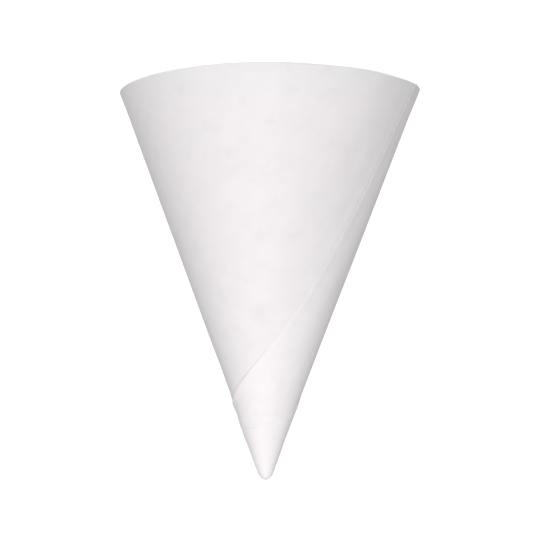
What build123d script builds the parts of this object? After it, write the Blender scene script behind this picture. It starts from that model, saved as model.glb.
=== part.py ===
"""A cone paper cup: one sheet of paper, rolled into a cone and glued along its lap.

Millimetres and degrees. The cup stands on its rim, mouth down, with its point up along +Z, and its
origin is the centre of the mouth.

The sheet is followed as it is rolled. A place on it is given by its slant, the distance from the
cone's apex down the wall, by its turn, the angle around the cup, and by its lift, the height over
the inside face. Turn 0 faces -Y, and turns grow clockwise as seen from above the point. Cut flat,
one full turn of the sheet is a wedge of 360 * sin(side_angle) degrees, so an edge that is straight
on the flat sheet winds down the cup as a steepening curve.
"""
import os
from math import acos, atan, cos, degrees, radians, sin, sqrt, tan

from build123d import *

# The cone that the sheet is rolled on, and the paper.
mouth_inside = 69.5      # diameter of the mouth inside the paper
side_angle = 20.56       # between the wall and the cup's axis
point_radius = 1.15      # of the rounded point, inside
paper = 0.17             # thickness of one ply

# The outer end of the sheet: a long straight edge and a short one square to it.
seam_start = 75.0        # turn at which the long edge meets the rim
seam_offset = 19.3       # how far the long edge passes from the apex, on the flat sheet
tail_offset = 13.95      # how far the short edge passes from the apex, on the flat sheet

# The inner end of the sheet, hidden under the outer one.
lap_turn = 60.0          # how far the plies overlap at the rim
landing = 0.02           # how deep the sheet settles where it comes down past its inner end

# How cutting surfaces are made.
overshoot = 5.0          # how far they reach past the rim
edge_step = 12.0         # turn between the points that an edge is drawn through

flat_share = sin(radians(side_angle))
wall_lean = tan(radians(side_angle))
apex_height = mouth_inside / 2 / wall_lean
rim_slant = apex_height / cos(radians(side_angle))
point_centre = apex_height - point_radius / flat_share

# Where the two outer edges pass closest to the apex, and where they meet in a square corner.
seam_foot = seam_start - degrees(acos(seam_offset / rim_slant)) / flat_share
tail_foot = seam_foot - 90 / flat_share
corner_turn = seam_foot - degrees(atan(tail_offset / seam_offset)) / flat_share

# The turn at which the long edge, drawn on past the rim, has left the paper behind.
edge_start = seam_foot + degrees(acos(seam_offset / (rim_slant + overshoot))) / flat_share

# The generator at which the sheet has come down to the ply below, past its own inner end.
inner_turn = seam_start + lap_turn
covered_turn = inner_turn - 360


def wall_point(slant, turn, lift):
    """The place on the sheet at this slant, turn and lift, in the cup's own frame."""
    lean = radians(side_angle)
    around = radians(-90 - turn)
    radius = slant * sin(lean) + lift * cos(lean)
    height = apex_height - slant * cos(lean) + lift * sin(lean)
    return Vector(radius * cos(around), radius * sin(around), height)


def wall_plane(turn, lift):
    """A plane lying on the wall along one generator: x runs down the slant, z points outwards."""
    lean = radians(side_angle)
    around = radians(-90 - turn)
    outwards = (cos(lean) * cos(around), cos(lean) * sin(around), sin(lean))
    down_slant = (sin(lean) * cos(around), sin(lean) * sin(around), -cos(lean))
    return Plane(origin=wall_point(0, turn, lift), x_dir=down_slant, z_dir=outwards)


def edge_slant(turn):
    """How far from the apex the sheet's outer edge lies at this turn, followed past full turns."""
    if turn > corner_turn:
        return seam_offset / cos(radians((turn - seam_foot) * flat_share))
    if turn > tail_foot:
        return tail_offset / cos(radians((turn - tail_foot) * flat_share))
    return tail_offset


def bridge(slant):
    """How far the sheet runs straight as it comes down by one ply past its inner end."""
    return sqrt(2 * slant * wall_lean * (paper + landing))


def wall_section(low_lift, high_lift):
    """Half the section of the wall between two lifts, from the rim to the middle of the point."""
    lean = radians(side_angle)
    ends = []
    with BuildSketch(Plane.XZ) as section:
        with BuildLine():
            for lift in (low_lift, high_lift):
                radius = point_radius + lift
                rim = (mouth_inside / 2 + lift / cos(lean), 0)
                side_top = (radius * cos(lean), point_centre + radius * sin(lean))
                Line(rim, side_top)
                CenterArc((0, point_centre), radius, side_angle, 90 - side_angle)
                ends.append((rim, (0, point_centre + radius)))
            Line(ends[0][0], ends[1][0])
            Line(ends[0][1], ends[1][1])
        make_face()
    return section.sketch


def square_cut(places, high_lift):
    """A strip of surface that stands square on the wall along these places, up to a lift."""
    rails = []
    for lift in (0, high_lift):
        points = [wall_point(slant, turn, lift) for slant, turn in places]
        with BuildLine() as rail:
            if len(points) == 2:
                Line(*points)
            else:
                Spline(*points)
        rails.append(rail.edge())
    return Face.make_surface_from_curves(*rails)


def outer_edge(first_turn, last_turn, high_lift):
    """The sheet's cut outer edge between two turns, in one strip for each smooth stretch."""
    stops = [first_turn]
    stops += [turn for turn in (corner_turn, tail_foot) if last_turn < turn < first_turn]
    stops.append(last_turn)
    strips = []
    for start, end in zip(stops, stops[1:]):
        steps = max(3, round((start - end) / edge_step))
        turns = [start + (end - start) * step / steps for step in range(steps + 1)]
        strips.append(square_cut([(edge_slant(turn), turn) for turn in turns], high_lift))
    return strips


def over_ramp(ply, low_slant):
    """The space left free where the sheet comes down from this ply to the one below."""
    with BuildPart() as space:
        with BuildSketch(wall_plane(inner_turn, (ply - 1) * paper - landing)):
            with Locations((low_slant, 0)):
                Rectangle(rim_slant + overshoot - low_slant, bridge(rim_slant + overshoot), align=Align.MIN)
        extrude(amount=2 * paper)
    return space.part


def upper_ply(ply, first_turn, last_turn, high_slant):
    """A ply that lies over others, from the sheet's outer edge round to where it comes down.

    It ends along the outer edge from first_turn to last_turn and, from there up to high_slant,
    along the generator where the sheet comes down past its inner end. Below, it reaches into the
    ply that lies inside all round, so that the glued plies are one piece.
    """
    low_slant = edge_slant(last_turn)
    cut_lift = (ply + 1) * paper
    step_down = square_cut([(low_slant, last_turn), (high_slant, last_turn)], cut_lift)
    boundary = Shell(outer_edge(first_turn, last_turn, cut_lift) + [step_down])
    with BuildPart() as all_round:
        add(wall_section(paper / 2, ply * paper))
        revolve(axis=Axis.Z)
    pieces = ShapeList(all_round.part.split(boundary, keep=Keep.ALL))
    with BuildPart() as trimmed:
        add(pieces.sort_by(Axis.Z)[-1])
        add(over_ramp(ply, low_slant), mode=Mode.SUBTRACT)
    return trimmed.part


with BuildPart() as cone_cup:
    # The ply that lies inside all round.
    add(wall_section(0, paper))
    revolve(axis=Axis.Z)
    # The outer end of the sheet, which covers the lap and the point.
    add(upper_ply(2, edge_start, covered_turn, rim_slant + overshoot))
    # The last turn round the point.
    add(upper_ply(3, covered_turn, covered_turn - 360, edge_slant(covered_turn)))
    # The sheet's inner end, a fine straight step down the inside of the wall.
    with BuildSketch(wall_plane(inner_turn, -landing)):
        with BuildLine():
            near = tail_offset
            far = rim_slant + overshoot
            Polyline((near, 0), (far, 0), (far, bridge(far)), (near, bridge(near)), close=True)
        make_face()
    extrude(amount=-overshoot, mode=Mode.SUBTRACT)

cone_cup.part.label = "cone_cup"
print("solids", len(cone_cup.part.solids()), "volume", round(cone_cup.part.volume, 1))

os.makedirs("parts", exist_ok=True)
export_step(cone_cup.part, "parts/cone_cup.step")
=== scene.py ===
# %% [markdown]
# # A cone paper cup
#
# A cone cup is one sheet of white paper, rolled into a cone and glued along its lap. It has no
# base, so it stands on its mouth with the point up, and that is how it is modelled. The CAD part
# holds its true sizes. Blender adds what makes it look like paper: an edge that stands up a
# little, a rim that a knife cut not quite level, soft waves in the wall, and the finish.
#
# The first cell loads the CAD part. Blender works in metres; this script thinks in millimetres,
# as a maker would, and turns to metres only when it places a point.

# %% Load the CAD part
import math

import bmesh
import bpy
from mathutils import Matrix, Vector, noise


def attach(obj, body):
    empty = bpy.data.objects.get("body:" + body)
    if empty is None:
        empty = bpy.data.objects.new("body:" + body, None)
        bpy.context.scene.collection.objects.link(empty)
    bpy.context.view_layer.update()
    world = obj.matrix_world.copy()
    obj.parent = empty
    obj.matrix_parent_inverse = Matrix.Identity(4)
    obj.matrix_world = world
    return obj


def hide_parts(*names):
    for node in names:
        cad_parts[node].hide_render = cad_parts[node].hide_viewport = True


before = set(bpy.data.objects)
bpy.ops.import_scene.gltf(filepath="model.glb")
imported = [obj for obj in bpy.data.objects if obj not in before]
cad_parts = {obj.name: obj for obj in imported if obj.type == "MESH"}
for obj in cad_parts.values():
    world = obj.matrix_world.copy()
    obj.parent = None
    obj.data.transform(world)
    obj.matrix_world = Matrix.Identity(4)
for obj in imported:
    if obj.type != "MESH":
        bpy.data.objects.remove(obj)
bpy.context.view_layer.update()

MM = 0.001


def in_mm(corner):
    """A place in metres as rounded millimetres, to print."""
    return [round(c / MM, 2) for c in corner]


# %% [markdown]
# ## The cone and the sheet
#
# A sheet can be rolled into a cone without stretching, so every place on the cup has a place on
# the flat sheet. Two numbers find it: the slant, which is the distance from the apex down the
# wall, and the turn, which is the angle around the cup. Turn 0 faces the camera, and turns grow
# towards the right of the photograph. A third number, the lift, is the height over the inside
# face, so a second ply lies one paper thickness up. The turn keeps counting past 360 degrees,
# which is how one sheet lies over itself.

# %% The cone and the paper, in millimetres and degrees
mouth_inside = 69.5
side_angle = math.radians(20.56)
paper = 0.17
flat_share = math.sin(side_angle)
apex_height = mouth_inside / 2 / math.tan(side_angle)
rim_slant = apex_height / math.cos(side_angle)
print("apex at", round(apex_height, 2), "mm, slant of the rim", round(rim_slant, 2), "mm")

# %% [markdown]
# ## Smooth changes
#
# Nothing on a paper cup starts or stops at once. One helper makes a soft step, and another runs a
# smooth line through a few places, so that a rim's cut or a hollow in the wall can be written as
# a short list of what was seen where. A spline could do this too, but it swings past its places,
# and this line never does.

# %% Helpers for smooth changes


def ease(share):
    """A step from 0 to 1 that starts and ends level."""
    share = min(max(share, 0.0), 1.0)
    return share * share * (3 - 2 * share)


def along(places, at):
    """The height of a smooth line through a few (where, height) places, level at each of them."""
    for (low, start), (high, end) in zip(places, places[1:]):
        if low <= at <= high:
            return start + (end - start) * ease((at - low) / (high - low))
    return places[0][1] if at < places[0][0] else places[-1][1]


def bump(away):
    """1 at a place, fading to both sides of it."""
    return math.exp(-away * away)


def turn_apart(turn, other):
    """How far one turn is from another, the short way round."""
    return (turn - other + 180) % 360 - 180


print("a soft step is at", ease(0.25), "a quarter of the way and at", ease(0.5), "half way")

# %% [markdown]
# ## The two cut edges
#
# The photograph shows a long edge that starts at the rim on the right and winds down round the
# front, and a short one square to it, close to the point. Both are straight on the flat sheet,
# where a line that passes the apex at distance d lies at slant d / cos(angle from its nearest
# place). The flat angle is the turn times the sine of the side angle. The knife wandered by up to
# a third of a millimetre along the long edge. A short list says at which turn and how far; it was
# found by laying trial renders over the photograph, and rounded. Past its own nearest place the
# short edge runs in towards the point, where it is pressed flat.

# %% Where the sheet's outer edge lies
seam_start = 75.0
seam_offset = 19.3
seam_wander = [(-240, 0.0), (-85, -0.3), (0, 0.25), (45, 0.25), (75, 0.0)]
tail_offset = 13.95
lip_width = 3.4
press_slant = tail_offset - lip_width
lap_turn = 60.0

seam_foot = seam_start - math.degrees(math.acos(seam_offset / rim_slant)) / flat_share
tail_foot = seam_foot - 90 / flat_share
corner_turn = seam_foot - math.degrees(math.atan(tail_offset / seam_offset)) / flat_share
inner_turn = seam_start + lap_turn
tail_end = inner_turn - 720.0
widest_flat_angle = 89.0


def line_slant(offset, foot, turn):
    """The slant at this turn of a line that is straight on the flat sheet."""
    flat_angle = (turn - foot) * flat_share
    if abs(flat_angle) > widest_flat_angle:
        return math.inf
    return offset / math.cos(math.radians(flat_angle))


def line_distance(offset, foot, slant, turn):
    """How far inside such a line a place lies, measured on the flat sheet."""
    return offset - slant * math.cos(math.radians((turn - foot) * flat_share))


def edge_slant(turn, inset=0.0):
    """How far down the wall the sheet reaches at this turn, before the rim cuts it."""
    if turn < tail_foot:
        run_in = ease((turn - tail_end) / (tail_foot - tail_end))
        return press_slant + (lip_width - inset) * run_in
    long_edge = line_slant(seam_offset + along(seam_wander, turn) - inset, seam_foot, turn)
    short_edge = line_slant(tail_offset - inset, tail_foot, turn)
    return min(long_edge, short_edge)


def edge_distance(slant, turn):
    """How far a place on the sheet is from its nearest cut edge, measured on the flat sheet."""
    from_long_edge = line_distance(seam_offset + along(seam_wander, turn), seam_foot, slant, turn)
    if turn < tail_foot:
        return min(from_long_edge, edge_slant(turn) - slant)
    return min(from_long_edge, line_distance(tail_offset, tail_foot, slant, turn))


print("the long edge passes nearest the apex at turn", round(seam_foot, 1))
print("square corner at turn", round(corner_turn, 1), "slant", round(edge_slant(corner_turn), 2))

# %% [markdown]
# ## The rim
#
# The rim of a cone cup is only a cut edge. The blanks are cut in a stack, so the cut wanders by
# up to half a millimetre, and where two plies meet at the rim the inner one ends a little short.
# The places below were read off the photograph's rim and rounded: the turn, and how far the paper
# stops short of the table there. The back can't be seen, so it has one even value. Cutting the
# cone with a tilted plane would give one even slope, which is not what a knife leaves.

# %% How far short of the table the rim stops
rim_dips = [(-180, 0.1), (-100, 0.1), (-55, 0.42), (-34, 0.32), (-20, 0.0), (-6, 0.03)]
rim_dips += [(22, 0.34), (40, 0.26), (54, 0.48), (76, 0.0), (130, 0.1), (180, 0.1)]
inner_ply_short = 0.2
short_over = 18.0
past_seam = 5.0


def rim_at(turn):
    """The slant of the rim on the sheet. A turn past the seam, that is the lap's inner ply."""
    inner_short = inner_ply_short * ease((turn - 360 - lap_turn) / short_over)
    return rim_slant - along(rim_dips, turn_apart(turn, 0)) - inner_short


def sheet_end(turn):
    """The slant at which the sheet ends at this turn, at a cut edge or at the rim."""
    if turn < seam_start + past_seam:
        return min(edge_slant(turn), rim_at(turn))
    return rim_at(turn)


print("rim stands short by up to", max(short for _, short in rim_dips), "mm")

# %% [markdown]
# ## The plies
#
# Around the cup the sheet lies in three plies near the point, two along the lap and one
# elsewhere. Where it passes over its own inner end it can't drop straight down: it comes down by
# one thickness along a short flat ramp, as paper bridges a step. The ramp's length follows from
# the cone's curve, so it is worked out and not guessed.

# %% How many plies lie where
settle_end = inner_turn - 360
widest_ramp = 40.0
tail_fade = 40.0


def ramp_turns(slant):
    """The turn that the sheet needs to come straight down by one ply."""
    bridge = math.sqrt(2 * slant * math.tan(side_angle) * paper)
    return min(math.degrees(bridge / (slant * flat_share)), widest_ramp)


def plies_high(slant, turn):
    """How many thicknesses up the sheet's outer face is at this place on the sheet."""
    slant = max(slant, press_slant)
    if turn <= settle_end:
        before = (settle_end - turn) / ramp_turns(slant)
        pressed_in = ease((turn - tail_end) / tail_fade)
        return 2 + min(before * before, 1.0) * pressed_in
    if turn <= inner_turn:
        before = (inner_turn - turn) / ramp_turns(slant)
        return 1 + min(before * before, 1.0)
    return 1.0


print("ramp at the rim is", round(ramp_turns(rim_slant), 1), "degrees wide")

# %% [markdown]
# ## The lip
#
# Along the long edge the glue doesn't quite reach the cut, so the paper springs straight there
# and the edge stands up by a seventh of a millimetre. That lip draws the fine dark line at the
# lower end of the seam, so it is real geometry with an open gap under it. A painted line would be
# dark from every side. Nearer the rim the lip lies almost flat, and the short edge near the point
# is pinched. There rollers have also thinned the paper towards the cut, which softens the step.

# %% The free lip and the pressed edge
corner_blend = 15.0
before_corner = corner_turn - corner_blend
after_corner = corner_turn + corner_blend
lip_rises = [(before_corner, 0.015), (after_corner, 0.14), (-25, 0.14), (20, 0.03)]
pressed_depths = [(before_corner, 0.09), (after_corner, 0.02), (-25, 0.02), (20, 0.09)]
pressed_reach = 1.1
pressed_tail = 120.0


def lip_lift(slant, turn):
    """How far the free edge has sprung up at this place on the sheet."""
    inside = max(edge_distance(slant, turn), 0.0)
    if inside >= lip_width:
        return 0.0
    fade = ease((turn - tail_end) / pressed_tail)
    return along(lip_rises, turn) * fade * (1 - inside / lip_width) ** 2


def edge_thinning(slant, turn):
    """How much the outer face sinks towards a cut edge, where rollers have pressed the paper."""
    inside = max(edge_distance(slant, turn), 0.0)
    fade = ease((turn - tail_end) / pressed_tail)
    return along(pressed_depths, turn) * fade * (1 - ease(inside / pressed_reach))


print("the lip stands up by up to", max(rise for _, rise in lip_rises), "mm")

# %% [markdown]
# ## The real cup's wall
#
# Paper holds a cone well but not perfectly. The wall has long, shallow waves. It is a little
# flatter on the side just before the seam, and the stiff double paper of the lap stands out as a
# low ridge along the cut, which is why the wall is pale right up to the seam and darker past it.
# A faint ring runs round near the rim, where the next cup in the stack pressed on it. The swells
# are single places where the photograph's outline stands out from a true cone, and the last of
# them is a hollow. The flat side is six tenths of a millimetre deep and the others are about two
# tenths at most, too little to sculpt, so each is a small formula. Their depths were found by
# comparing trial renders with the photograph, and rounded.

# %% Waves, flat side, ring and swells
wave_depth = 0.06
wave_length = 29.0
waves_around = 1.3
waves_grow_over = 20.0
flat_turn = 30.0
flat_reach = 22.0
flat_depth = 0.62
ring_slant = 92.2
ring_width = 0.45
ring_depth = 0.045

# Each swell: its slant and turn, its height, and its reach along the slant and around in degrees.
swells = [(99.0, 84.0, 0.22, 3.5, 12.0), (99.0, -88.0, 0.1, 3.0, 10.0)]
swells += [(15.0, -90.0, 0.22, 2.2, 30.0), (6.5, -90.0, 0.2, 3.0, 35.0)]
swells += [(92.2, -66.0, -0.08, 0.5, 9.0)]

# How far the wall stands out, against the distance past the long edge.
lap_rises = [(-12, 0.0), (-6, 0.06), (-2, 0.02), (0.4, 0.11), (3.2, -0.03), (9, -0.1), (14, 0.0)]
lap_growth = 0.8
growth_from = -10.0
growth_over = 50.0
shown_from = -200.0
shown_over = 50.0


def beside_the_seam(slant, turn):
    """How far the wall stands out at a place because of the stiff lap next to it."""
    rise = 0.0
    seen = turn_apart(turn, seam_start - 180) + seam_start - 180
    for counted in (seen, seen + 360):
        if abs(counted - seam_foot) * flat_share < widest_flat_angle:
            past = -line_distance(seam_offset, seam_foot, slant, counted)
            stronger_near_rim = 1 + lap_growth * ease((counted - growth_from) / growth_over)
            none_at_the_back = ease((counted - shown_from) / shown_over)
            rise += along(lap_rises, past) * stronger_near_rim * none_at_the_back
    return rise


def wall_shape(slant, turn):
    """How far the real wall stands out from a true cone at this place."""
    around = math.radians(turn)
    place = Vector((waves_around * math.cos(around), waves_around * math.sin(around), slant / wave_length))
    shape = wave_depth * noise.noise(place) * ease(slant / waves_grow_over)
    for at_slant, at_turn, height, slant_reach, turn_reach in swells:
        aside = turn_apart(turn, at_turn) / turn_reach
        shape += height * bump((slant - at_slant) / slant_reach) * bump(aside)
    shape -= ring_depth * bump((slant - ring_slant) / ring_width)
    shape -= flat_depth * slant / rim_slant * bump(turn_apart(turn, flat_turn) / flat_reach)
    return shape + beside_the_seam(slant, turn)


print("at the rim the flat side lies", round(-wall_shape(rim_slant, flat_turn), 2), "mm in")

# %% [markdown]
# ## From the sheet to the room
#
# One function turns slant, turn and lift into a point, so the faces of every ply move together
# and never cross. The point of the cup is not a ball but an arch, because the paper there is
# wound and crushed to a blunt tip. It is also wound loosely, which lifts it a tenth of a
# millimetre off the true cone. The whole cup leans: its point is a little over a millimetre off
# the middle of the mouth, and its last centimetre bends back by a fifth of a millimetre.

# %% From a place on the sheet to a place in the room
arch_radius = 1.6
arch_past_axis = 0.39
loose_winding = 0.12
loose_reach = 4.0
point_lean = 0.0168
point_bend = 0.2
bend_from = 81.0
bend_over = 6.0
point_plies = 3

arch_centre = apex_height - (arch_radius - arch_past_axis * math.cos(side_angle)) / flat_share
arch_slant = (apex_height - arch_centre) * math.cos(side_angle) - arch_past_axis * flat_share


def room_point(slant, turn, lift):
    """A place on the sheet as a point in metres, with the cup standing on its mouth."""
    lift += loose_winding * bump(slant / loose_reach)
    if slant >= arch_slant:
        radius = slant * flat_share + lift * math.cos(side_angle)
        height = apex_height - slant * math.cos(side_angle) + lift * flat_share
    else:
        arch = arch_radius + lift
        top_angle = math.acos(arch_past_axis / arch)
        angle = top_angle + (side_angle - top_angle) * slant / arch_slant
        radius = arch * math.cos(angle) - arch_past_axis
        height = arch_centre + arch * math.sin(angle)
    radius += wall_shape(slant, turn) * ease(slant / arch_slant)
    around = math.radians(-90 - turn)
    leaning = point_lean * height - point_bend * ease((height - bend_from) / bend_over)
    return Vector((radius * math.cos(around) + leaning, radius * math.sin(around), height)) * MM


print("the point is at", in_mm(room_point(0, 0, point_plies * paper)), "mm")

# %% [markdown]
# ## A grid that follows the sheet
#
# The outside face is drawn in columns, one at each turn, that run from the edge of the ply above
# down to the sheet's own edge or to the rim. A column that ends at a cut edge goes on over the
# edge and back under the lip to where the plies are glued, and there the column one full turn
# later starts. So the outside is one unbroken skin with a true overhang, and no ply is hidden
# inside. Solidify on a spiral surface would be quicker, but it leaves faces inside the lap.
# The columns need a place at each corner of the sheet, so the turns are laid out between those.

# %% Columns and rows
column_step = 2.0
closing_step = 0.01
lip_closed = seam_start
while edge_slant(lip_closed, lip_width) < rim_at(lip_closed + 360):
    lip_closed += closing_step
inner_edge_turn = inner_turn - ramp_turns(rim_slant)

stops = [tail_end, seam_start - 360, lip_closed - 360, corner_turn]
stops += [inner_edge_turn - 360, settle_end]
stops.sort()
around_once = []
for start, end in zip(stops, stops[1:]):
    steps = math.ceil((end - start) / column_step)
    around_once += [start + (end - start) * step / steps for step in range(steps)]
per_turn = len(around_once)


def column_turn(column):
    """The turn of a column, counted from the tail's pressed end."""
    return around_once[column % per_turn] + 360 * (column // per_turn)


def column_at(turn):
    """The column that stands at one of the stops."""
    once = (turn - tail_end) % 360 + tail_end
    nearest = min(range(per_turn), key=lambda column: abs(around_once[column] - once))
    return nearest + per_turn * round((turn - around_once[nearest]) / 360)


last_lip = column_at(lip_closed)
inner_edge = column_at(inner_edge_turn)
last_column = last_lip + per_turn
print("columns a turn", per_turn, "the lip closes at turn", round(lip_closed, 2))

# %% [markdown]
# ## Vertices and faces
#
# Vertices are kept by what they are, not by where they are, so two that meet by design are the
# same vertex and the mesh closes without a merge. A face whose corners fall together, as at the
# pressed end of the tail, drops the repeats. Rows are closer together near the rim and near a
# free edge, where the shape changes fastest. Each vertex also notes how many plies lie there,
# which the paper's colour needs later.

# %% Lists of points and faces
point_rows = 16
outside_rows = 56
lip_rows = 4
inside_rows = 48
crowding = 1.55

points = []
plies_at = []
faces = []


def vertex(slant, turn, lift, plies):
    """Adds a vertex, notes how many plies lie there, and gives its number."""
    points.append(room_point(slant, turn, lift))
    plies_at.append(plies)
    return len(points) - 1


def face(*corners):
    """Adds a face, leaving out corners that repeat."""
    kept = [c for place, c in enumerate(corners) if c != corners[place - 1]]
    if len(set(kept)) > 2 and len(set(kept)) == len(kept):
        faces.append(kept)


def strip(first, second):
    """Faces between two rows of vertices of the same length."""
    for a, b, c, d in zip(first, first[1:], second[1:], second):
        face(a, b, c, d)


def skin(lines):
    """Faces between each line of vertices and the next."""
    for first, second in zip(lines, lines[1:]):
        strip(first, second)


def row_share(row, rows):
    """Where a row lies between a column's start and end: closer together towards the end."""
    return 1 - (1 - row / rows) ** crowding


print("rows a column", outside_rows, "outside and", inside_rows, "inside")

# %% [markdown]
# ## The wound point
#
# At the very tip the sheet is wound three plies thick and crushed, and no edge shows. It is drawn
# as a small cap of spokes from one vertex at the pole, and its last ring is where the columns of
# the outside face start.

# %% The point's cap
pole = vertex(0, 0, point_plies * paper, point_plies)
cap = []
for column in range(per_turn):
    turn = column_turn(column)
    plies_at_ring = plies_high(press_slant, turn)
    spoke = [pole]
    for row in range(1, point_rows + 1):
        slant = press_slant * row / point_rows
        plies = point_plies - (point_plies - plies_at_ring) * ease(row / point_rows)
        spoke.append(vertex(slant, turn, plies * paper, plies))
    cap.append(spoke)
skin(cap + cap[:1])
cap_ring = [spoke[-1] for spoke in cap]
print("vertices in the point's cap", len(points))

# %% [markdown]
# ## The outside and the underside of the lip
#
# Each column starts where it comes out from under the ply above. Its last vertex is on the cut
# edge or on the rim. Where it ends at a cut edge, a second line goes from the edge's lower corner
# back under the lip, lying one ply lower, and its last vertex is shared with the column below.

# %% The outside face, the cut edge and the underside
outside = []
underside = []


def column_start(column):
    """The slant and the vertex at which a column comes out from under the ply above."""
    if column < per_turn:
        return press_slant, cap_ring[column]
    shared = underside[column - per_turn][-1]
    if column == per_turn:
        return press_slant, shared
    return edge_slant(column_turn(column) - 360, lip_width), shared


def outside_line(column):
    """One column of the outside face, from the ply above to the sheet's edge or the rim."""
    turn = column_turn(column)
    start_slant, start_vertex = column_start(column)
    if column in (0, last_column):
        return [start_vertex] * (outside_rows + 1)
    line = [start_vertex]
    for row in range(1, outside_rows + 1):
        slant = start_slant + (sheet_end(turn) - start_slant) * row_share(row, outside_rows)
        plies = plies_high(slant, turn)
        lift = plies * paper
        if column <= last_lip:
            lift += lip_lift(slant, turn) - edge_thinning(slant, turn)
        line.append(vertex(slant, turn, lift, plies))
    return line


def underside_line(column):
    """The same column, from the lower corner of its cut edge back under the lip to the glue."""
    if column == 0:
        return [cap_ring[0]] * (lip_rows + 1)
    turn = column_turn(column)
    end_slant = sheet_end(turn)
    glued_slant = edge_slant(turn, lip_width)
    line = []
    for row in range(lip_rows + 1):
        slant = end_slant + (glued_slant - end_slant) * row / lip_rows
        plies = plies_high(slant, turn + 360)
        lift = plies * paper
        if row < lip_rows:
            lift += lip_lift(slant, turn)
        line.append(vertex(slant, turn, lift, plies))
    return line


for column in range(last_column + 1):
    outside.append(outside_line(column))
    if column <= last_lip:
        underside.append(underside_line(column))
skin(outside)
skin(underside)
strip([line[-1] for line in outside[: last_lip + 1]], [line[0] for line in underside])
print("columns on the outside", len(outside), "of which with a lip", len(underside))

# %% [markdown]
# ## The inside
#
# Drink meets a plain cone with one straight step, where the sheet begins. The inside face is the
# same kind of grid, one turn of columns at lift 0, and the step is the seam between its first
# and its last column, one ply apart. It isn't seen in the photograph, but it shows when the cup
# is picked up, and it closes the mesh.

# %% The inside face
step_run = 6.0
tone_over = 1.0


def plies_through(slant, turn):
    """How many plies lie over the inside face at this place on the innermost one."""
    past_edges = [edge_slant(turn - 360 * laps) - slant for laps in (1, 2)]
    return 1 + sum(ease(past / tone_over + 0.5) for past in past_edges)


inside_pole = vertex(0, 0, 0, point_plies)
inside_cap = []
for column in range(inner_edge, inner_edge + per_turn):
    turn = column_turn(column)
    slants = [press_slant * row / point_rows for row in range(1, point_rows + 1)]
    inside_cap.append([inside_pole] + [vertex(slant, turn, 0, point_plies) for slant in slants])
inside_cap.append(inside_cap[0])
skin(inside_cap)

inside = []
for column, spoke in zip(range(inner_edge, inner_edge + per_turn + 1), inside_cap):
    turn = column_turn(column)
    before = max((inner_turn - turn) / (inner_turn - inner_edge_turn), 0.0)
    line = [spoke[-1]]
    for row in range(1, inside_rows + 1):
        slant = press_slant + (rim_at(turn) - press_slant) * row_share(row, inside_rows)
        step = ease((slant - press_slant) / step_run) * before * before
        line.append(vertex(slant, turn, step * paper, plies_through(slant, turn)))
    inside.append(line)
skin(inside)
strip(inside[0], inside[-1])
print("the inside has", len(inside), "columns and a step of", paper, "mm")

# %% [markdown]
# ## The rim's cut edge
#
# The rim is one narrow cut face where the sheet is single. Along the lap it is two, one for each
# ply, with the inner ply's stopping a little short. Faces join the last vertices of the outside
# and the inside, and a line of vertices at one ply's lift lies between them in the lap.

# %% Close the rim


def inside_rim(column):
    """The inside face's vertex at the rim."""
    return inside[column - inner_edge][-1]


for column in range(inner_edge, last_column):
    face(outside[column][-1], outside[column + 1][-1], inside_rim(column + 1), inside_rim(column))

between_outer = {last_lip: underside[last_lip][0], inner_edge: inside_rim(inner_edge)}
between_inner = {last_lip: underside[last_lip][-1]}
for column in range(last_lip + 1, inner_edge + 1):
    turn = column_turn(column)
    if column < inner_edge:
        between_outer[column] = vertex(rim_at(turn), turn, paper, 2)
    between_inner[column] = vertex(rim_at(turn + 360), turn, paper, 2)
for column in range(last_lip, inner_edge):
    after = column + 1
    outer, outer_after = between_outer[column], between_outer[after]
    inner, inner_after = between_inner[column], between_inner[after]
    lip_end = underside[last_lip][1:-1] if column == last_lip else []
    face(outside[column][-1], outside[after][-1], outer_after, outer)
    face(outer, *lip_end, inner, inner_after, outer_after)
    face(inner, inner_after, inside_rim(after + per_turn), inside_rim(column + per_turn))
face(inside_rim(inner_edge), between_inner[inner_edge], inside_rim(inner_edge + per_turn))
print("vertices", len(points), "faces", len(faces))

# %% [markdown]
# ## From lists to an object
#
# The mesh is closed, so Blender can work out which way each face looks. Edges that fold by more
# than 30 degrees, which are the cut edges, stay sharp; the rest is shaded smooth. The piece takes
# the place of the plain CAD cup and rides on the part's one body.

# %% The paper cup as a mesh
scene = bpy.context.scene
sharp_fold = math.radians(30)


def new_object(name, data):
    """An object in the scene, made from a mesh, a lamp or a lens."""
    made = bpy.data.objects.new(name, data)
    scene.collection.objects.link(made)
    return made


cup_mesh = bpy.data.meshes.new("rolled_paper_cup")
cup_mesh.from_pydata(points, [], faces)
shell = bmesh.new()
shell.from_mesh(cup_mesh)
bmesh.ops.recalc_face_normals(shell, faces=shell.faces)
open_edges = sum(1 for edge in shell.edges if len(edge.link_faces) != 2)
paper_volume = round(shell.calc_volume() / MM**3, 1)
shell.to_mesh(cup_mesh)
shell.free()
thickness = cup_mesh.attributes.new("plies", "FLOAT", "POINT")
thickness.data.foreach_set("value", plies_at)
cup_mesh.shade_smooth()
cup_mesh.set_sharp_from_angle(angle=sharp_fold)

paper_cup = new_object("rolled_paper_cup", cup_mesh)
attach(paper_cup, "root")
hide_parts("cone_cup")
print("edges that don't join two faces:", open_edges, "paper in cubic mm:", paper_volume)

# %% [markdown]
# ## Helpers for materials
#
# Colours are written as on a screen, in hex, and Blender wants them linear. One function turns
# the one into the other, and one adds any node with its settings and its links, so that the
# cells below read as what the paper is and not as how nodes are wired.

# %% Colour and node helpers


def linear(hex_colour):
    """An sRGB hex colour as the linear values that a shader takes."""
    values = [int(hex_colour[i : i + 2], 16) / 255 for i in (1, 3, 5)]
    curve = [v / 12.92 if v <= 0.04045 else ((v + 0.055) / 1.055) ** 2.4 for v in values]
    return (*curve, 1.0)


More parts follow.
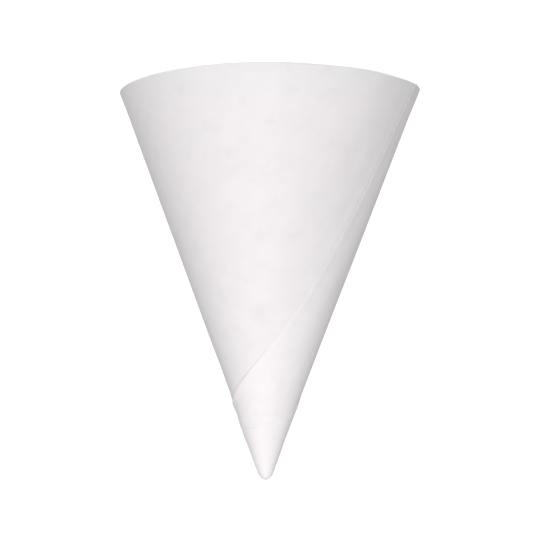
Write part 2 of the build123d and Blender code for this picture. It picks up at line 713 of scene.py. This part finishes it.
def node(tree, kind, settings=None, **inputs):
    """Adds a node, sets its properties, and fills its inputs with values or links."""
    made = tree.nodes.new(kind)
    for name, value in (settings or {}).items():
        setattr(made, name, value)
    for name, value in inputs.items():
        by_number = name[0] == "_"
        socket = made.inputs[int(name[1:]) if by_number else name.replace("_", " ")]
        if isinstance(value, bpy.types.NodeSocket):
            tree.links.new(value, socket)
        else:
            socket.default_value = value
    return made


def new_material(name):
    """An empty node material and its tree."""
    material = bpy.data.materials.new(name)
    material.use_nodes = True
    material.node_tree.nodes.clear()
    return material, material.node_tree


print("mid grey on a screen is", round(linear("#808080")[0], 3), "in linear light")

# %% [markdown]
# ## Bleached cup paper: its tone
#
# The cup is made of bleached kraft paper of about 130 grams a square metre, uncoated on the
# outside. One ply lets some of the light through into the dark inside, so the lap and the point,
# where two and three plies lie together, look whiter; the mesh carries the number of plies for
# this. Real translucency would do it too, but it needs many more light samples and doesn't
# export. Between the ring and the rim the white is painted very slightly darker and less pink.
# This is painted shade, standing in for the light that falls off towards the rim.

# %% Whiter where plies lie together, painted shade towards the rim
single_ply_white = "#F3EFF0"
double_ply_white = "#F8F4F5"
rim_shade_white = "#EDECEC"
ring_height = apex_height - ring_slant * math.cos(side_angle)

cup_paper, tree = new_material("bleached_kraft_cup_paper")
spot = node(tree, "ShaderNodeTexCoord").outputs["Object"]
plies = node(tree, "ShaderNodeAttribute", {"attribute_name": "plies"})
doubled = node(
    tree, "ShaderNodeMapRange", Value=plies.outputs["Fac"], From_Min=1.0, From_Max=2.0
)
tone = node(
    tree,
    "ShaderNodeMixRGB",
    Fac=doubled.outputs["Result"],
    Color1=linear(single_ply_white),
    Color2=linear(double_ply_white),
)
# Painted shade: from the ring down to the rim the colour is blended towards a darker white.
height = node(tree, "ShaderNodeSeparateXYZ", Vector=spot)
rim_shade_mask = node(
    tree,
    "ShaderNodeMapRange",
    Value=height.outputs["Z"],
    From_Min=0.0,
    From_Max=ring_height * MM,
    To_Min=1.0,
    To_Max=0.0,
)
rim_painted_shade = node(
    tree,
    "ShaderNodeMixRGB",
    Fac=rim_shade_mask.outputs["Result"],
    Color1=tone.outputs["Color"],
    Color2=linear(rim_shade_white),
)
print("the dulled band is", round(ring_height, 1), "mm high")

# %% [markdown]
# ## Bleached cup paper: clouds and flecks
#
# Held to the light such paper is cloudy, because its fibres lie thicker in some places than in
# others, and it has a few denser flecks. Both are noise worked out in the room's own millimetres,
# so the pattern stays the same size on any cup and runs on over the seam without a join. An
# image would need the cone to be unwrapped first. Noise lies mostly between 0.3 and 0.7, so that
# range is spread over the clouds, and only its peaks become flecks.

# %% Clouds and flecks
cloud_size = 5.0
cloud_contrast = 0.015
fleck_size = 4.0
fleck_contrast = 0.025

clouds = node(
    tree,
    "ShaderNodeTexNoise",
    Vector=spot,
    Scale=1 / (cloud_size * MM),
    Detail=3.0,
    Roughness=0.55,
)
cloudy = node(
    tree,
    "ShaderNodeMapRange",
    Value=clouds.outputs["Fac"],
    From_Min=0.3,
    From_Max=0.7,
    To_Min=1 - cloud_contrast,
    To_Max=1 + cloud_contrast,
)
flecks = node(
    tree,
    "ShaderNodeTexNoise",
    Vector=spot,
    Scale=1 / (fleck_size * MM),
    Detail=1.0,
    Roughness=0.4,
)
flecked = node(
    tree,
    "ShaderNodeMapRange",
    Value=flecks.outputs["Fac"],
    From_Min=0.6,
    From_Max=0.75,
    To_Min=1.0,
    To_Max=1 - fleck_contrast,
)
mottle = node(
    tree,
    "ShaderNodeMath",
    {"operation": "MULTIPLY"},
    _0=cloudy.outputs["Result"],
    _1=flecked.outputs["Result"],
)
colour = node(
    tree,
    "ShaderNodeVectorMath",
    {"operation": "SCALE"},
    _0=rim_painted_shade.outputs["Color"],
    Scale=mottle.outputs["Value"],
)
print("clouds are drawn at", cloud_size, "mm and flecks at", fleck_size, "mm")

# %% [markdown]
# ## Bleached cup paper: its surface
#
# The felt of the paper machine leaves a fine grain and a softer pattern some six times as wide.
# Real fibres are 0.03 mm wide, too fine for this picture, so the grain is drawn at 0.35 mm. Both
# are far shallower than the paper is thick, so they are bump and not geometry. Paper is matte:
# its roughness is near 0.8, and its IOR is that of cellulose, about 1.5. Uncoated paper is open
# between its fibres, so it has only half the gloss of a closed face.

# %% Grain, felt and shader
fibre_grain = 0.35
grain_depth = 0.03
felt_grain = 6 * fibre_grain
felt_depth = 0.08

grain = node(
    tree,
    "ShaderNodeTexNoise",
    Vector=spot,
    Scale=1 / (fibre_grain * MM),
    Detail=2.0,
    Roughness=0.6,
)
felt = node(
    tree,
    "ShaderNodeTexNoise",
    Vector=spot,
    Scale=1 / (felt_grain * MM),
    Detail=2.0,
    Roughness=0.5,
)
grain_bump = node(
    tree,
    "ShaderNodeBump",
    Height=grain.outputs["Fac"],
    Strength=0.12,
    Distance=grain_depth * MM,
)
felt_bump = node(
    tree,
    "ShaderNodeBump",
    Height=felt.outputs["Fac"],
    Strength=0.25,
    Distance=felt_depth * MM,
    Normal=grain_bump.outputs["Normal"],
)
paper_shader = node(
    tree,
    "ShaderNodeBsdfPrincipled",
    Base_Color=colour.outputs["Vector"],
    Roughness=0.8,
    IOR=1.5,
    Specular_IOR_Level=0.25,
    Normal=felt_bump.outputs["Normal"],
)
node(tree, "ShaderNodeOutputMaterial", Surface=paper_shader.outputs["BSDF"])
paper_cup.data.materials.append(cup_paper)
print("paper grain is drawn at", fibre_grain, "mm, felt at", round(felt_grain, 2), "mm")

# %% [markdown]
# ## The white table
#
# The photograph is a cup cut out on white. A table of pale card gives that and still shows the
# cup's soft shadow. Lighting the card until it is white would also burn out the cup, so the card
# keeps its own tone for the light that it throws on the cup. It glows only for rays that look at
# it: the camera's, and those that gloss reflects or glass lets through.

# %% The white table
table_half = 3.0
card_white = "#EDEDED"
pure_white = "#FFFFFF"
card_glow = 0.8


def sees_backdrop(tree):
    """1 for a ray from the camera, one that gloss reflects and one that passes through glass."""
    rays = node(tree, "ShaderNodeLightPath")
    seen = rays.outputs["Is Camera Ray"]
    for kind in ("Is Glossy Ray", "Is Transmission Ray"):
        either = node(
            tree, "ShaderNodeMath", {"operation": "MAXIMUM"}, _0=seen, _1=rays.outputs[kind]
        )
        seen = either.outputs["Value"]
    return seen


table_card, tree = new_material("white_table_card")
matte = node(tree, "ShaderNodeBsdfDiffuse", Color=linear(card_white))
glow = node(tree, "ShaderNodeEmission", Color=linear(pure_white), Strength=card_glow)
seen_card = node(
    tree, "ShaderNodeAddShader", _0=matte.outputs["BSDF"], _1=glow.outputs["Emission"]
)
card = node(
    tree,
    "ShaderNodeMixShader",
    _0=sees_backdrop(tree),
    _1=matte.outputs["BSDF"],
    _2=seen_card.outputs["Shader"],
)
node(tree, "ShaderNodeOutputMaterial", Surface=card.outputs["Shader"])

table_mesh = bpy.data.meshes.new("white_table")
corners = [(x * table_half, y * table_half, 0) for x, y in ((-1, -1), (1, -1), (1, 1), (-1, 1))]
table_mesh.from_pydata(corners, [], [(0, 1, 2, 3)])
table_mesh.materials.append(table_card)
white_table = new_object("white_table", table_mesh)
print("the table is", 2 * table_half, "m wide")

# %% [markdown]
# ## The room
#
# An even, weak light from all round fills the shadow side of the cup, as a white room does. Rays
# that look at the same room see it as plain white, which is the photograph's background. One
# world does both, by asking what kind of ray has reached it.

# %% The surrounding light
room_light = 0.3

white_room = bpy.data.worlds.new("white_room")
scene.world = white_room
white_room.use_nodes = True
tree = white_room.node_tree
tree.nodes.clear()
fill = node(tree, "ShaderNodeBackground", Color=linear(pure_white), Strength=room_light)
backdrop = node(tree, "ShaderNodeBackground", Color=linear(pure_white), Strength=1.0)
room = node(
    tree,
    "ShaderNodeMixShader",
    _0=sees_backdrop(tree),
    _1=fill.outputs["Background"],
    _2=backdrop.outputs["Background"],
)
node(tree, "ShaderNodeOutputWorld", Surface=room.outputs["Shader"])
print("the room lights the cup at a strength of", room_light)

# %% [markdown]
# ## The lamps
#
# The wall's tone falls slowly to both sides and more slowly towards the point, which one lamp
# doesn't give. Two broad lamps stand near the camera, one high and one low, and the low one a
# little to one side. They are wide for their distance, so that no edge of light shows on the
# paper, and weak enough that white paper stays just below pure white.

# %% Two broad lamps
lamp_distance = 0.9
lamp_size = 0.45
cup_middle = Vector((0, 0, apex_height / 2 * MM))


def broad_lamp(name, azimuth, elevation, power):
    """A square lamp that faces the middle of the cup; azimuth 0 is the camera's side."""
    lamp = bpy.data.lights.new(name, "AREA")
    lamp.size = lamp_size
    lamp.energy = power
    stand = new_object(name, lamp)
    sideways, up = math.radians(azimuth), math.radians(elevation)
    out = Vector((math.sin(sideways), -math.cos(sideways), 0)) * math.cos(up)
    out.z = math.sin(up)
    stand.location = cup_middle + out * lamp_distance
    stand.rotation_mode = "QUATERNION"
    stand.rotation_quaternion = (-out).to_track_quat("-Z", "Y")
    return stand


high_lamp = broad_lamp("high_lamp", azimuth=0, elevation=45, power=3.26)
low_lamp = broad_lamp("low_lamp", azimuth=10, elevation=12, power=2.27)
print("lamps at", in_mm(high_lamp.location), "and", in_mm(low_lamp.location), "mm")

# %% [markdown]
# ## The camera
#
# The rim's curve in the photograph gives the camera's height, about nine degrees over level. The
# camera stands a metre away with a long lens, as for a product photograph. The photograph shows
# the cup with its point down, so the camera is rolled by half a turn, less a third of a degree.
# The lens is given in the photograph's pixels, and so is the place in the frame where the middle
# of the cup lies. That isn't the frame's middle, and the camera is turned by the small angle
# between them, so its lens needs no shift.

# %% The camera
view_elevation = math.radians(8.8)
view_distance = 1.0
view_tilt = 0.35
view_roll = math.radians(180 - view_tilt)
picture = 540
focal_pixels = 4299.0
centre_across = 270.30
centre_down = 290.78
centre_height = 47.15

lens = bpy.data.cameras.new("camera")
lens.sensor_width = 36.0
lens.lens = focal_pixels / picture * lens.sensor_width
lens.clip_start = 0.05
lens.clip_end = 20.0
camera = new_object("camera", lens)
scene.camera = camera

look = Vector((0, math.cos(view_elevation), -math.sin(view_elevation)))
stands_at = Vector((0, 0, centre_height * MM)) - look * view_distance
aim = look.to_track_quat("-Z", "Y").to_matrix().to_4x4()
roll = Matrix.Rotation(view_roll, 4, "Z")
across = Matrix.Rotation((centre_across - picture / 2) / focal_pixels, 4, "Y")
down = Matrix.Rotation((centre_down - picture / 2) / focal_pixels, 4, "X")
camera.matrix_world = Matrix.Translation(stands_at) @ aim @ roll @ across @ down

scene.view_settings.view_transform = "Standard"
print("lens of", round(lens.lens, 1), "mm at", in_mm(stands_at), "mm")
